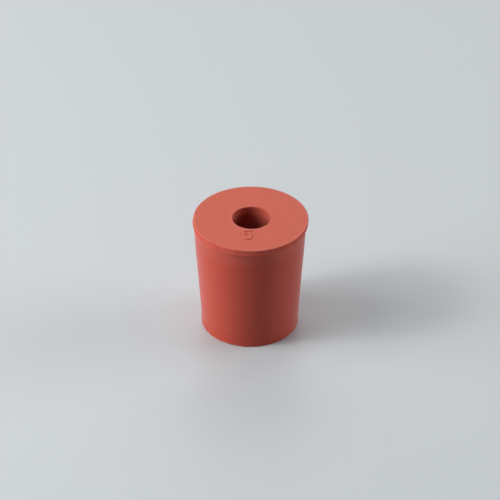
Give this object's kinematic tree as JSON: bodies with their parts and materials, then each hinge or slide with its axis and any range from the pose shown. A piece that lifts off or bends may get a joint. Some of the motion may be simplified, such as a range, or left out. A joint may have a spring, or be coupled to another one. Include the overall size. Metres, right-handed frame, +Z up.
{
  "type": "rubber stopper",
  "caption": "Tapered rubber stopper that plugs the neck of a flask or tube, with a straight hole through its middle that grips a glass tube.",
  "frame": {"origin": "centre of the narrow face, on the axis of the hole, where the stopper stands", "axes": "+Z up the hole to the wide face; the solid is round about Z, and -Y is the side on which the size number reads upright"},
  "size_m": [0.024, 0.024, 0.0256],
  "materials": {
    "rubber": "moulded, matt with a soft sheen"
  },
  "bodies": {
    "root": {"stopper": "rubber"}
  },
  "joints": []
}
